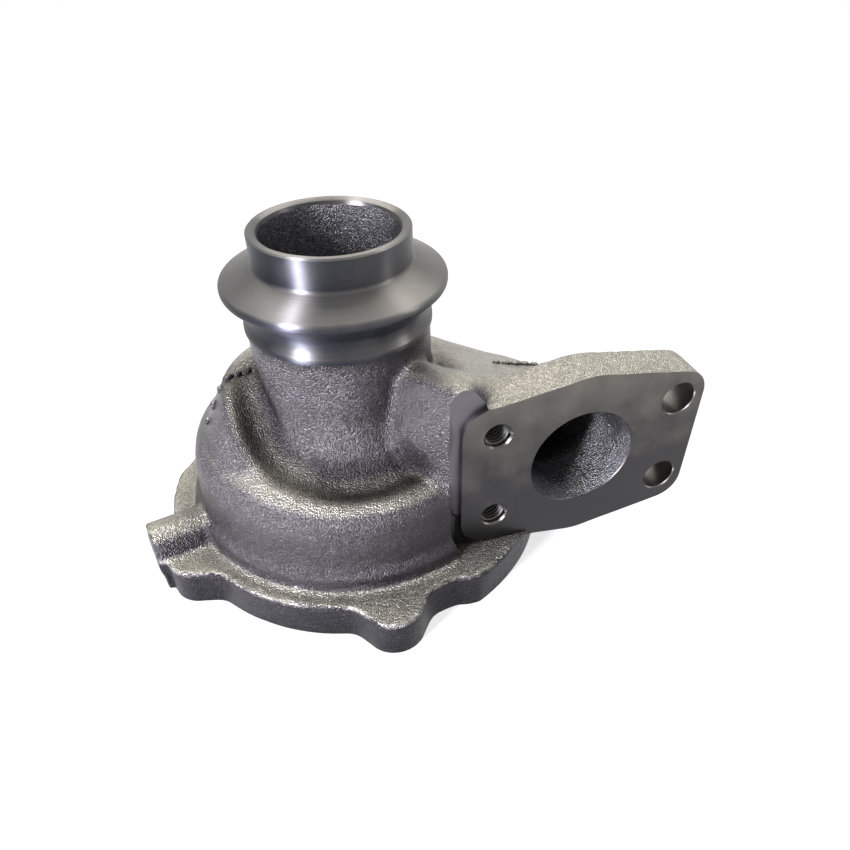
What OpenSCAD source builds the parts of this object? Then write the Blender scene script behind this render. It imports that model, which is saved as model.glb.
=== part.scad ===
// Turbine housing of a small diesel turbocharger, one iron casting, lengths in millimetres.
// +Z is the turbine axis with the outlet up, the bottom machined face lies on z = 0,
// +X runs along the inlet flange, and the inlet face looks along -Y.

/* [Outlet end] */
// Height from the bottom machined face to the outlet rim
total_h = 103; // [98:0.5:108]
// Outer radius of the outlet spigot
spigot_r = 22.9; // [22.5:0.1:23.3]
// Radius of the outlet bore
bore_r = 20; // [18:0.1:20.6]
// Length of the outlet spigot above the clamp ridge
spigot_h = 10.3; // [8:0.1:12]
// Largest radius of the clamp ridge
ridge_r = 32.8; // [31:0.1:35]
// Height of the clamp ridge's widest circle
ridge_z = 88.6; // [87:0.1:90]
// Half width of the land on the clamp ridge
ridge_land = 0.9; // [0.5:0.1:1.5]
// Radius of the neck at the clamp groove
groove_r = 27; // [26.7:0.1:27.3]
// Height of the groove's lower end
groove_z = 76.8; // [76:0.1:78]
// Radius of the cast neck
neck_r = 27.5; // [27:0.1:27.9]
// Chamfer on the outlet bore's rim
rim_bevel = 0.8; // [0.4:0.1:1.2]

/* [Body] */
// Radius of the dome's shoulder
shoulder_r = 39; // [38:0.1:40]
// Height of the dome's shoulder
shoulder_z = 52.6; // [51:0.1:54]
// Radius of the hollow beside the neck's foot, mm
hollow_r = 10; // [9:0.1:10.4]
// Radius of the body wall at mid height
wall_r = 52; // [51:0.1:53]
// Height where the body wall turns in towards the dome
wall_z = 33; // [31:0.1:35]
// Radius of the foot step above the base flange
foot_r = 54.6; // [54:0.1:56]
// Height of the foot step
foot_z = 17.8; // [16:0.1:19]

/* [Scroll] */
// Height of the scroll's centre where the duct ends
scroll_z = 31.4; // [30:0.1:32.5]
// Outer reach of the scroll where it leaves the duct
reach_start = 72.5; // [71:0.1:74]
// Outer reach that the scroll settles to
reach_end = 49; // [48.5:0.1:49.8]
// Angle over which the outer reach falls
reach_fall = 45; // [40:1:50]
// Radius of the duct's outer section behind the inlet flange
duct_r = 20; // [19:0.1:21]
// Radius of the scroll's outer section where the duct ends
section_r = 16.6; // [16:0.1:17.2]
// Radius of the scroll's outer section at its small end
section_end_r = 9; // [8:0.1:10]
// Angle swept by the scroll's outer body
body_sweep = 250; // [240:10:260]
// Angle swept by the gas passage
gas_sweep = 300; // [280:10:310]
// Wall between the gas passage and the outside
gas_wall = 5; // [4:0.1:6]
// Radius of the gas passage at its small end
gas_end_r = 5; // [4:0.1:5.5]

/* [Inlet flange] */
// Centre of the inlet bolt pattern along X
inlet_x = 63.6; // [62:0.1:65]
// Centre height of the inlet bolt pattern
inlet_z = 39.6; // [38.5:0.1:40.5]
// Distance of the inlet face from the turbine axis
face_y = 46.8; // [46:0.1:48]
// Thickness of the inlet flange
plate_t = 13.8; // [12:0.1:15]
// Half height of the inlet flange at its tallest place
plate_top = 30.3; // [29.5:0.1:31]
// Half height of the inlet flange at its ends
plate_end = 25.6; // [24:0.1:26.5]
// Half length of the inlet flange
plate_half = 39.3; // [38:0.1:41]
// Corner radius of the inlet flange
plate_corner = 8.6; // [7:0.1:10]
// Crown radius of the inlet flange's long sides
plate_crown = 22; // [18:1:26]
// Radius of the inlet port at the face
port_r = 16.9; // [16:0.1:17.5]
// Radius of the inlet port's deep end
port_deep_r = 14.6; // [13.5:0.1:15]
// Hole spacing along the inlet flange
hole_dx = 59.2; // [57:0.1:61]
// Hole spacing up the inlet flange
hole_dz = 31; // [29:0.1:33]
// Radius of the plain through holes
through_r = 5.5; // [5:0.1:6]
// Radius of the tapped holes
tapped_r = 3.4; // [3:0.1:3.6]
// Radius of the tapped holes' countersunk mouths
mouth_r = 4.4; // [4:0.1:4.8]
// Depth of the tapped holes
tapped_depth = 16; // [12:0.5:18]
// Depth of the milled relief behind the inlet face
relief_depth = 1.7; // [1:0.1:2.5]
// Width of the milled relief around the inlet face
relief_w = 4; // [3:0.1:5]

/* [Base flange] */
// Radius of the base flange's rim
rim_r = 60.8; // [60:0.1:62]
// Thickness of the base flange
rim_t = 12.7; // [11:0.1:14]
// Radius of the circle through the base bolts
bolt_circle_r = 59.5; // [59:0.1:60]
// Nose radius of a bolt lug
lug_r = 9.2; // [8:0.1:10]
// Distance of a bolt lug's nose from the axis
lug_nose = 70; // [69:0.1:70.5]
// Angle between neighbouring bolt lugs
lug_pitch = 66; // [65:0.5:67]
// Radius of the base bolt holes
base_hole_r = 3.4; // [3:0.1:4]
// Depth of the base bolt holes
base_hole_depth = 10; // [8:0.1:10.5]
// Radius of the wide pad under the inlet duct
pad_r = 64.8; // [63:0.1:66]
// Radius of the short pad behind the side boss
short_pad_r = 63.3; // [62.5:0.1:65]
// Distance of the short pad's bolt from the axis
short_bolt_r = 57; // [56.5:0.1:57.5]
// Radius of the side boss
boss_r = 8.3; // [8:0.1:9]
// Distance of the side boss's end from the axis
boss_reach = 71.2; // [69:0.1:72]

/* [Bearing side recess] */
// Radius of the register at the bottom
register_r = 47; // [45:0.1:48]
// Depth of the register
register_depth = 7; // [5:0.1:9]
// Radius of the nozzle pocket
pocket_r = 43; // [42:0.1:44]
// Depth of the nozzle pocket
pocket_depth = 17; // [15:0.1:18]
// Radius of the wheel chamber
chamber_r = 41; // [40:0.1:41.5]
// Depth of the wheel chamber
chamber_depth = 26; // [24:0.1:27]
// Radius where the wheel's contour starts
contour_r = 24; // [23:0.1:25]

/* [Hidden] */
$fn = 96;
lug_first = -158.5;
boss_angle = -168;
lug_count = 6;
plate_z = inlet_z - 0.3;
plate_back = face_y - plate_t;
port_x = inlet_x - 1;
cone_z = total_h - spigot_h;
ring_n = 24;
gas_n = 18;

// Point on an arc in the plane, centre c, radius r, angle a
function arc_pt(c, r, a) = [c[0] + r * cos(a), c[1] + r * sin(a)];

// Arc of n steps from angle a to angle b
function arc(c, r, a, b, n) = [for (i = [0:n]) arc_pt(c, r, a + (b - a) * i / n)];

// Outer reach of the scroll at angle a
function reach(a) = reach_end + (reach_start - reach_end) * exp(-a / reach_fall);

// Radius of the scroll's outer section at angle a
function section(a) = section_end_r + (section_r - section_end_r)
    * (1 - 0.34 * ease(a, 0, 30) - 0.08 * ease(a, 30, 180) - 0.58 * ease(a, 180, 290));

// Height of the scroll's centre at angle a
function centre_z(a) = scroll_z - 3.4 * ease(a, -10, 30) + 3.4 * ease(a, 90, 170) - 3 * ease(a, 190, 290);

// Smooth rise from 0 to 1 while v goes from a to b
function ease(v, a, b) = let (t = min(1, max(0, (v - a) / (b - a)))) t * t * (3 - 2 * t);

// Circle near the neck that the scroll's section leans on, as reach, height and radius
function lean(a) = [
    30 - 2.5 * ease(a, 0, 180) + 4 * ease(a, 190, 250),
    45.5 - 4.5 * ease(a, 0, 50) + 7 * ease(a, 60, 185) - 14 * ease(a, 195, 250),
    12.5 + 0.5 * ease(a, 90, 175) - 2 * ease(a, 190, 250)];

// Station list: negative values lie on the straight duct, the others are angles
body_stations = concat([for (i = [3:-1:1]) -i / 3], [for (a = [0:10:body_sweep]) a]);
gas_stations = concat([for (i = [3:-1:1]) -i / 3], [for (a = [0:12.5:gas_sweep]) a]);
hollow_stations = [for (a = [184:6:250]) a];

// Outer section's main circle at a station, as reach, height and radius
function main_circle(s) = s < 0
    ? [port_x - (port_x - reach_start + section_r) * ease(s, -1.25, 0.45) / ease(0, -1.25, 0.45),
       inlet_z - (inlet_z - scroll_z) * ease(s, -1.1, 0.3) / ease(0, -1.1, 0.3),
       duct_r - (duct_r - section_r) * ease(s, -1, 0.2) / ease(0, -1, 0.2)]
    : [reach(s) - section(s), centre_z(s), section(s)];

// Leaning circle at a station
function lean_circle(s) = s < 0 ? [30 - 7 * s, 45.5 - 6 * s, 12.5 + 0.8 * s] : lean(s);

// Circle of the hollow between the neck's foot and the scroll, as reach, height and radius
function hollow_circle(a) = [
    43.5 - 1.5 * ease(a, 186, 200) + 7 * ease(a, 205, 250),
    shoulder_z + 0.8 + 10.5 * (1 - ease(a, 182, 216)),
    hollow_r];

// Gas passage's main circle at a station
function gas_circle(s) = s < 0
    ? [main_circle(s)[0], main_circle(s)[1], main_circle(s)[2] - gas_wall - 1.2 * ease(-s, 0, 1)]
    : let (r = gas_end_r + (section_r - gas_wall - gas_end_r) * pow(1 - s / 310, 0.8))
      [reach(s) - gas_wall - r, centre_z(s), r];

// Small inner circle that leads the gas passage to the wheel chamber
function throat_circle(s) = let (g = gas_circle(s), w = ease(s, -0.7, 20))
    [g[0] + (36 - g[0]) * w, g[1] + (25.5 - g[1]) * w, (g[2] - 1) * (1 - w) + 3.6 * w];

// Point of the closed section around two circles whose outward direction is b
function two_circle(c, d, b) =
    let (hc = c[0] * cos(b) + c[1] * sin(b) + c[2], hd = d[0] * cos(b) + d[1] * sin(b) + d[2])
    hc > hd ? [c[0] + c[2] * cos(b), c[1] + c[2] * sin(b)] : [d[0] + d[2] * cos(b), d[1] + d[2] * sin(b)];

// Place a section point at its station, duct stations stay parallel to the inlet face
function placed(p, s) = s < 0
    ? [p[0], s * plate_back, p[1]]
    : [p[0] * cos(s), p[0] * sin(s), p[1]];

// Closed body through the stations from its two circle lists
module swept(stations, first, second, n) {
    m = len(stations);
    pts = [for (k = [0:m - 1]) for (j = [0:n - 1])
        placed(two_circle(first[k], second[k], 360 * j / n), stations[k])];
    sides = [for (k = [0:m - 2]) for (j = [0:n - 1])
        let (a = k * n + j, b = k * n + (j + 1) % n)
        each [[a, b + n, a + n], [a, b, b + n]]];
    start_cap = [[for (j = [n - 1:-1:0]) j]];
    end_cap = [[for (j = [0:n - 1]) (m - 1) * n + j]];
    polyhedron(points = pts, faces = concat(sides, start_cap, end_cap), convexity = 6);
}

// Scroll's outer body from the back of the inlet flange round to its small end
module scroll_body() {
    swept(body_stations,
        [for (s = body_stations) main_circle(s)],
        [for (s = body_stations) lean_circle(s)],
        ring_n);
}

// Gas passage with its throat towards the wheel chamber
module gas_passage() {
    swept(gas_stations,
        [for (s = gas_stations) gas_circle(s)],
        [for (s = gas_stations) throat_circle(s)],
        gas_n);
}

// Hollow that runs down the left of the neck's foot, between it and the scroll
module shoulder_hollow() {
    circles = [for (s = hollow_stations) hollow_circle(s)];
    swept(hollow_stations, circles, circles, ring_n);
}

// Neck, clamp ridge and spigot, turned about the axis
module outlet_end() {
    rotate_extrude()
        polygon([
            [0, 40],
            [neck_r, 40],
            [neck_r, groove_z - 1.6],
            [groove_r + 0.9, groove_z - 1.2],
            [groove_r + 1, groove_z],
            [groove_r, groove_z + 1.6],
            [groove_r, groove_z + 4.6],
            [groove_r + 1.2, groove_z + 6.2],
            [ridge_r - 0.8, ridge_z - ridge_land - 0.9],
            [ridge_r, ridge_z - ridge_land],
            [ridge_r, ridge_z + ridge_land],
            [ridge_r - 0.8, ridge_z + ridge_land + 0.7],
            [spigot_r + 1.4, cone_z - 0.5],
            [spigot_r, cone_z + 1],
            [spigot_r, total_h - rim_bevel / 2],
            [spigot_r - rim_bevel / 2, total_h],
            [0, total_h]]);
}

// Dome over the wheel, body wall and foot step, all turned about the axis
module dome_and_foot() {
    rotate_extrude()
        polygon(concat(
            [[0, 5], [foot_r, 5], [foot_r, foot_z - 1.5], [foot_r - 1.2, foot_z]],
            [[wall_r + 0.4, foot_z + 2.2], [wall_r, wall_z - 4]],
            arc([wall_r - 9, wall_z - 2], 9, 12, 52, 5),
            [[shoulder_r + 3.4, shoulder_z - 9]],
            arc([shoulder_r - 5.5, shoulder_z - 6], 6.5, 10, 78, 6),
            [[neck_r + 4.6, shoulder_z + 1.8], [neck_r + 1.8, shoulder_z + 4.2]],
            [[neck_r + 0.5, shoulder_z + 7.6], [neck_r - 0.4, shoulder_z + 12], [0, shoulder_z + 12]]));
}

// One bolt lug with its flank fillets, pointing along +X
module lug_2d() {
    polygon(concat(
        [[rim_r - 12, lug_r + 3.5], [rim_r - 2.5, lug_r + 4.6], [rim_r + 0.9, lug_r + 1.4]],
        arc([lug_nose - lug_r, 0], lug_r, 62, -62, 10),
        [[rim_r + 0.9, -lug_r - 1.4], [rim_r - 2.5, -lug_r - 4.6], [rim_r - 12, -lug_r - 3.5]]));
}

// Pad of radius r along the rim from angle a to angle b, with a ramp at each end
module rim_pad_2d(r, a, b) {
    polygon(concat(
        [[0, 0], arc_pt([0, 0], rim_r - 0.4, a - 8.5), arc_pt([0, 0], rim_r + 0.2 * (r - rim_r), a - 5.5)],
        [arc_pt([0, 0], rim_r + 0.65 * (r - rim_r), a - 3)],
        arc([0, 0], r, a, b, 14),
        [arc_pt([0, 0], rim_r + 0.65 * (r - rim_r), b + 3)],
        [arc_pt([0, 0], rim_r + 0.2 * (r - rim_r), b + 5.5), arc_pt([0, 0], rim_r - 0.4, b + 8.5)]));
}

// Base flange with its bolt lugs, the wide pad and the pad under the side boss
module base_flange() {
    linear_extrude(height = rim_t) {
        circle(r = rim_r, $fn = 180);
        for (i = [0:lug_count - 2])
            rotate(lug_first + lug_pitch * i)
                lug_2d();
        rim_pad_2d(pad_r, -67, -26);
        rim_pad_2d(short_pad_r, 163, 180);
        rotate(boss_angle)
            translate([42, -boss_r])
                square([boss_reach - 42, 2 * boss_r]);
    }
}

// Half round boss lying on the base flange
module side_boss() {
    rotate([0, 0, boss_angle])
        translate([40, 0, rim_t - 1.2])
            rotate([0, 90, 0])
                cylinder(r = boss_r, h = boss_reach - 40.3, $fn = 48);
}

// Outline of the inlet flange, grown by w, in its own plane
function plate_outline(w) =
    let (ex = plate_half - plate_corner, ez = plate_end - plate_corner)
    let (tz = plate_top - plate_crown, tilt = atan((plate_top - plate_end) / ex) * 1.25)
    concat(
        arc([ex, -ez], plate_corner + w, tilt - 90, 0, 6),
        arc([ex, ez], plate_corner + w, 0, 90 - tilt, 6),
        arc([0, tz], plate_crown + w, 90 - tilt, 90 + tilt, 4),
        arc([-ex, ez], plate_corner + w, 90 + tilt, 180, 6),
        arc([-ex, -ez], plate_corner + w, 180, 270 - tilt, 6),
        arc([0, -tz], plate_crown + w, 270 - tilt, 270 + tilt, 4));

// Slab with the inlet flange's outline between two distances from the axis
module inlet_slab(w, front, back) {
    translate([inlet_x - 1, -back, plate_z])
        rotate([90, 0, 0])
            linear_extrude(height = front - back)
                polygon(plate_outline(w));
}

// Web from the neck to the inlet flange, with the foot gusset under the flange's corner
module inlet_web() {
    hull() {
        translate([25.5, -41, 68]) sphere(r = 6, $fn = 20);
        translate([27, -36, 57]) sphere(r = 12, $fn = 28);
        translate([17, -22, 49.5]) sphere(r = 10, $fn = 24);
        translate([50, -34, 52]) sphere(r = 9.5, $fn = 24);
        translate([38, -10, 44]) sphere(r = 11, $fn = 24);
        translate([27, -34, 34]) sphere(r = 13, $fn = 28);
    }
    translate([25.6, -42.2, 8]) cylinder(r1 = 7.4, r2 = 4.4, h = 16, $fn = 32);
}

// Outer form before the bores
module outer_form() {
    difference() {
        union() {
            outlet_end();
            dome_and_foot();
            scroll_body();
            inlet_web();
            side_boss();
        }
        shoulder_hollow();
        difference() {
            inlet_slab(relief_w, face_y + 24, face_y - relief_depth);
            translate([0, -100, -20]) cube([160, 100, 20 + rim_t + 0.7]);
        }
    }
    base_flange();
    inlet_slab(0, face_y, plate_back);
}

// Outlet bore, wheel contour, chamber, pocket and register, turned about the axis
module axis_bores() {
    rotate_extrude()
        polygon([
            [0, -1],
            [register_r, -1],
            [register_r, register_depth],
            [pocket_r, register_depth],
            [pocket_r, pocket_depth],
            [chamber_r, pocket_depth],
            [chamber_r, chamber_depth],
            [contour_r, chamber_depth],
            [contour_r - 0.6, chamber_depth + 3],
            [contour_r - 2.2, chamber_depth + 7],
            [bore_r - 1.8, chamber_depth + 12],
            [bore_r - 1.8, chamber_depth + 20],
            [bore_r, chamber_depth + 34],
            [bore_r, total_h - rim_bevel],
            [bore_r + 1.2 * rim_bevel, total_h + 0.1],
            [0, total_h + 0.1]]);
}

// Inlet port, tapered from the face to the duct
module inlet_port() {
    translate([port_x, -face_y - 1, inlet_z])
        rotate([-90, 0, 0])
            cylinder(r1 = port_r + 0.15, r2 = port_deep_r, h = plate_t + 1.6, $fn = 72);
}

// Two tapped holes near the neck and two plain holes at the free end
module inlet_holes() {
    for (v = [-1, 1])
        translate([inlet_x - hole_dx / 2, -face_y, inlet_z + v * hole_dz / 2])
            rotate([-90, 0, 0]) {
                translate([0, 0, -0.1])
                    cylinder(r1 = mouth_r + 0.1, r2 = tapped_r - 0.1, h = mouth_r - tapped_r + 0.3, $fn = 40);
                translate([0, 0, 0.5])
                    cylinder(r = tapped_r, h = tapped_depth - 0.5, $fn = 40);
                translate([0, 0, tapped_depth - 0.3])
                    cylinder(r1 = tapped_r - 0.2, r2 = 0.2, h = 1.9, $fn = 40);
            }
    for (v = [-1, 1])
        translate([inlet_x + hole_dx / 2, -face_y - 1, inlet_z + v * hole_dz / 2])
            rotate([-90, 0, 0])
                cylinder(r = through_r, h = plate_t + 2, $fn = 48);
}

// Blind bolt holes in the base lugs
module base_holes() {
    for (i = [0:lug_count - 1])
        rotate([0, 0, lug_first + lug_pitch * i])
            translate([(i == lug_count - 1 ? short_bolt_r : bolt_circle_r), 0, -1])
                cylinder(r = base_hole_r, h = base_hole_depth + 1, $fn = 36);
}

// The whole casting
module turbine_housing() {
    color([0.44, 0.42, 0.41])
        difference() {
            outer_form();
            axis_bores();
            gas_passage();
            inlet_port();
            inlet_holes();
            base_holes();
        }
}

turbine_housing();
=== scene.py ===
import math

import bmesh
import bpy
import mathutils.kdtree
import numpy as np
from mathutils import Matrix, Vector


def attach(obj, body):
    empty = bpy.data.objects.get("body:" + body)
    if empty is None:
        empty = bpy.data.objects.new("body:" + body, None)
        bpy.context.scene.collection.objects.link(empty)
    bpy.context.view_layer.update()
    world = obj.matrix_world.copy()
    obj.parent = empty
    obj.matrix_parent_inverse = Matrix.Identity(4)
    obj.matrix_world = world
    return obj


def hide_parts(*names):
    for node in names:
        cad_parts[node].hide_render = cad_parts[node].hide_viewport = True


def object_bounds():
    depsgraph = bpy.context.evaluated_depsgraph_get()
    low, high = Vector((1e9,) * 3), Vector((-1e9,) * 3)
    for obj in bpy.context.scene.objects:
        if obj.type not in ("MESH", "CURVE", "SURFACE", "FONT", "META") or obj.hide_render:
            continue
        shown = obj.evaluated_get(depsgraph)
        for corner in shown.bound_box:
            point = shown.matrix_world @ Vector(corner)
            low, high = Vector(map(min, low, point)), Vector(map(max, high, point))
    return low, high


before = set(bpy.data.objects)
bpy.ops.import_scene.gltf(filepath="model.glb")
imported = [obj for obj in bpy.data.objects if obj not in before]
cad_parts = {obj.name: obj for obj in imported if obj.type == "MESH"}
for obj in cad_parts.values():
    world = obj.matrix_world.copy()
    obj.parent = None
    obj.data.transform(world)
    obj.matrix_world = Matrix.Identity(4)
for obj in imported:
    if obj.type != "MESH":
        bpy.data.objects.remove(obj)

import openvdb
from mathutils import Matrix, Vector

cad_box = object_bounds()
scene = bpy.context.scene
MM = 0.001

# Studio
# A pale floor under the housing, four soft lamps round it, and the camera at the photograph's angle.
# The camera's place is in millimetres, and its turn, tilt and roll are in degrees.

CAMERA_AT = (-28.455, -186.408, 176.056)
CAMERA_TURN = -19.376
CAMERA_TILT = 90 - 40.337
CAMERA_ROLL = 0.573
CAMERA_LENS = 29.016
CAMERA_SHIFT = (-0.0342, 0.0402)

camera_data = bpy.data.cameras.new("camera")
camera_data.lens = CAMERA_LENS
camera_data.sensor_width = 36
camera_data.shift_x, camera_data.shift_y = CAMERA_SHIFT
camera_data.clip_start = 0.01
camera = bpy.data.objects.new("camera", camera_data)
camera.matrix_world = (
    Matrix.Translation(Vector(CAMERA_AT) * MM)
    @ Matrix.Rotation(math.radians(CAMERA_TURN), 4, "Z")
    @ Matrix.Rotation(math.radians(CAMERA_TILT), 4, "X")
    @ Matrix.Rotation(math.radians(CAMERA_ROLL), 4, "Z"))
scene.collection.objects.link(camera)
scene.camera = camera
scene.view_settings.view_transform = "Standard"


def fill(tree, node, name, value):
    """Set a node's input, found by its name or its number, or join it to the socket given."""
    socket = node.inputs[int(name)] if str(name).isdigit() else node.inputs[name]
    if isinstance(value, bpy.types.NodeSocket):
        tree.links.new(value, socket)
    else:
        socket.default_value = value


def add_node(tree, kind, settings, inputs):
    """Add a node and fill its inputs, which are written with _ for a space, or as _0 by number."""
    made = tree.nodes.new(kind)
    for name, value in dict(settings).items():
        setattr(made, name, value)
    for name, value in inputs.items():
        fill(tree, made, name.replace("_", " ").strip(), value)
    return made


class Shader:
    """The node tree of a material or world, made in the order its nodes are added."""

    def __init__(self, owner):
        owner.use_nodes = True
        self.tree = owner.node_tree
        self.tree.nodes.clear()

    def node(self, kind, settings=(), **inputs):
        return add_node(self.tree, kind, settings, inputs)

    def put(self, node, name, value):
        fill(self.tree, node, name, value)

    def math(self, operation, a, b=0.0, c=0.0):
        made = self.node("ShaderNodeMath", {"operation": operation})
        for k, value in enumerate((a, b, c)):
            self.put(made, k, value)
        return made.outputs[0]


def seen_or_mirrored(shader):
    """1 for the camera's rays and for what metal and glass mirror, 0 for the rays that light the housing."""
    ray = shader.node("ShaderNodeLightPath").outputs
    return shader.math("MAXIMUM", ray["Is Camera Ray"],
                       shader.math("MAXIMUM", ray["Is Glossy Ray"], ray["Is Transmission Ray"]))


FLOOR_HALF = 6
FLOOR_COLOUR = (0.86, 0.86, 0.86, 1)
SHADOW_FULL, SHADOW_GONE = 0.12, 0.55
floor_corners = [(x * FLOOR_HALF, y * FLOOR_HALF, 0) for x, y in ((-1, -1), (1, -1), (1, 1), (-1, 1))]
floor_mesh = bpy.data.meshes.new("floor")
floor_mesh.from_pydata(floor_corners, [], [(0, 1, 2, 3)])
floor = bpy.data.objects.new("floor", floor_mesh)
scene.collection.objects.link(floor)
floor_paint = bpy.data.materials.new("floor_paint")
paint = Shader(floor_paint)
matt = paint.node("ShaderNodeBsdfDiffuse", Color=FLOOR_COLOUR)
glow = paint.node("ShaderNodeEmission", Color=(1, 1, 1, 1), Strength=1.0)
from_middle = paint.node("ShaderNodeVectorMath", {"operation": "LENGTH"},
                         Vector=paint.node("ShaderNodeTexCoord").outputs["Object"]).outputs["Value"]
clean = paint.node("ShaderNodeMapRange", Value=from_middle, From_Min=SHADOW_FULL, From_Max=SHADOW_GONE,
                   To_Min=0.74, To_Max=1.0)
share = paint.math("MULTIPLY", seen_or_mirrored(paint), clean.outputs[0])
blend = paint.node("ShaderNodeMixShader", Fac=share)
paint.put(blend, 1, matt.outputs[0])
paint.put(blend, 2, glow.outputs[0])
paint.node("ShaderNodeOutputMaterial", Surface=blend.outputs[0])
floor_mesh.materials.append(floor_paint)

world = bpy.data.worlds.new("room")
scene.world = world
room = Shader(world)
dim = room.node("ShaderNodeBackground", Color=(0.86, 0.90, 1.0, 1), Strength=0.5)
white = room.node("ShaderNodeBackground", Color=(1, 1, 1, 1), Strength=1.0)
pick = room.node("ShaderNodeMixShader", Fac=seen_or_mirrored(room))
room.put(pick, 1, dim.outputs[0])
room.put(pick, 2, white.outputs[0])
room.node("ShaderNodeOutputWorld", Surface=pick.outputs[0])


def soft_lamp(name, place, aim, size, power, colour):
    """A rectangular lamp at its place, turned towards its aim, both in metres."""
    lamp = bpy.data.lights.new(name, "AREA")
    lamp.shape = "RECTANGLE"
    lamp.size, lamp.size_y = size
    lamp.energy = power
    lamp.color = colour
    lamp_object = bpy.data.objects.new(name, lamp)
    lamp_object.location = place
    lamp_object.rotation_euler = (Vector(aim) - Vector(place)).to_track_quat("-Z", "Y").to_euler()
    scene.collection.objects.link(lamp_object)


soft_lamp("ceiling", (0.10, 0.50, 0.80), (0.01, 0.0, 0.05), (1.1, 0.5), 11, (1.0, 0.96, 0.88))
soft_lamp("window", (-0.68, -0.45, 0.27), (0.0, 0.0, 0.06), (0.11, 0.5), 33, (0.93, 0.93, 1.0))
soft_lamp("left_panel", (-0.80, -0.06, 0.50), (0.0, 0.0, 0.05), (0.22, 0.45), 1.0, (0.92, 0.92, 1.0))
soft_lamp("fill", (0.76, -0.33, 0.42), (0.02, 0.0, 0.05), (0.04, 0.75), 2.2, (1.0, 0.97, 0.94))

# Casting
# The whole housing is one iron casting, poured in a sand mould with cores for the gas passage and the bore.
# Its form is the smooth union of the pattern's parts, each a distance in millimetres on one fine grid.

GRID_STEP = 0.95
GRID_LOW = np.array([-74.0, -73.0, -4.5])
GRID_HIGH = np.array([105.0, 71.5, 107.0])
grid_axes = [np.arange(lo, hi, GRID_STEP, dtype=np.float32) for lo, hi in zip(GRID_LOW, GRID_HIGH)]
gx = grid_axes[0][:, None, None]
gy = grid_axes[1][None, :, None]
gz = grid_axes[2][None, None, :]
radius = np.hypot(gx, gy)
FAR = 60.0


def ease(v, a, b):
    """0 before a, 1 past b, and a smooth step between. It falls where a is the larger."""
    t = np.clip((v - a) / (b - a), 0, 1)
    return t * t * (3 - 2 * t)


def blend_min(a, b, k):
    """Union of two distances with a fillet of about size k."""
    h = np.clip(0.5 + 0.5 * (b - a) / k, 0, 1)
    return b + (a - b) * h - k * h * (1 - h)


def blend_max(a, b, k):
    """What two distances share, with a fillet of about size k."""
    return -blend_min(-a, -b, k)


def outline_distance(points, u, v):
    """Signed distance to a closed outline in its own plane, negative inside."""
    nearest = np.full(np.broadcast(u, v).shape, 1e9, np.float32)
    inside = np.zeros(nearest.shape, bool)
    for (au, av), (bu, bv) in zip(points, points[1:] + points[:1]):
        eu, ev = bu - au, bv - av
        if eu * eu + ev * ev < 1e-9:
            continue
        t = np.clip(((u - au) * eu + (v - av) * ev) / (eu * eu + ev * ev), 0, 1)
        nearest = np.minimum(nearest, (u - au - t * eu) ** 2 + (v - av - t * ev) ** 2)
        if av != bv:
            inside ^= ((av > v) != (bv > v)) & (u < au + (v - av) * eu / ev)
    return np.where(inside, -1, 1) * np.sqrt(nearest)


def turned_distance(profile):
    """Distance to a closed profile of radius and height turned about the axis."""
    table_step, table_reach = 0.3, 112
    table_r = np.arange(0, table_reach, table_step, dtype=np.float32)[:, None]
    table = outline_distance(profile, table_r, grid_axes[2][None, :]).astype(np.float32)
    place = radius[:, :, 0] / table_step
    low = np.minimum(place.astype(int), len(table) - 2)
    share = (place - low)[:, :, None].astype(np.float32)
    return table[low] * (1 - share) + table[low + 1] * share


def slab_distance(flat, along, low, high, edge):
    """Distance to a flat outline carried from low to high, with rounded edges."""
    u = flat + edge
    w = np.maximum(low - along, along - high) + edge
    return np.minimum(np.maximum(u, w), 0) + np.hypot(np.maximum(u, 0), np.maximum(w, 0)) - edge


def two_circle_distance(p, q, first, second):
    """Distance to the band round two circles, each given as reach, height and radius."""
    (au, av, ra), (bu, bv, rb) = first, second
    eu, ev = bu - au, bv - av
    span = eu * eu + ev * ev
    fall = ra - rb
    rest = np.maximum(span - fall * fall, 1e-3)
    pu, pv = p - au, q - av
    y = pu * eu + pv * ev
    z = y - span
    x2 = (pu * span - eu * y) ** 2 + (pv * span - ev * y) ** 2
    k = np.sign(fall) * fall * fall * x2
    at_b = np.sqrt(x2 + z * z * span) / span - rb
    at_a = np.sqrt(x2 + y * y * span) / span - ra
    between = (np.sqrt(x2 * rest / span) + y * fall) / span - ra
    found = np.where(np.sign(y) * rest * y * y * span < k, at_a, between)
    found = np.where(np.sign(z) * rest * z * z * span > k, at_b, found)
    apart = span > fall * fall * 1.02 + 0.01
    alone = np.minimum(np.hypot(p - au, q - av) - ra, np.hypot(p - bu, q - bv) - rb)
    return np.where(apart, found, alone).astype(np.float32)


def spline(points, steps=6):
    """Smooth open curve through the points."""
    out = []
    ends = [points[0]] + points + [points[-1]]
    for a, b, c, d in zip(ends, ends[1:], ends[2:], ends[3:]):
        for i in range(steps):
            t = i / steps
            out.append(tuple(0.5 * (2 * q + (r - p) * t + (2 * p - 5 * q + 4 * r - s) * t * t
                                    + (3 * q - p - 3 * r + s) * t ** 3)
                             for p, q, r, s in zip(a, b, c, d)))
    return out + [points[-1]]


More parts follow.
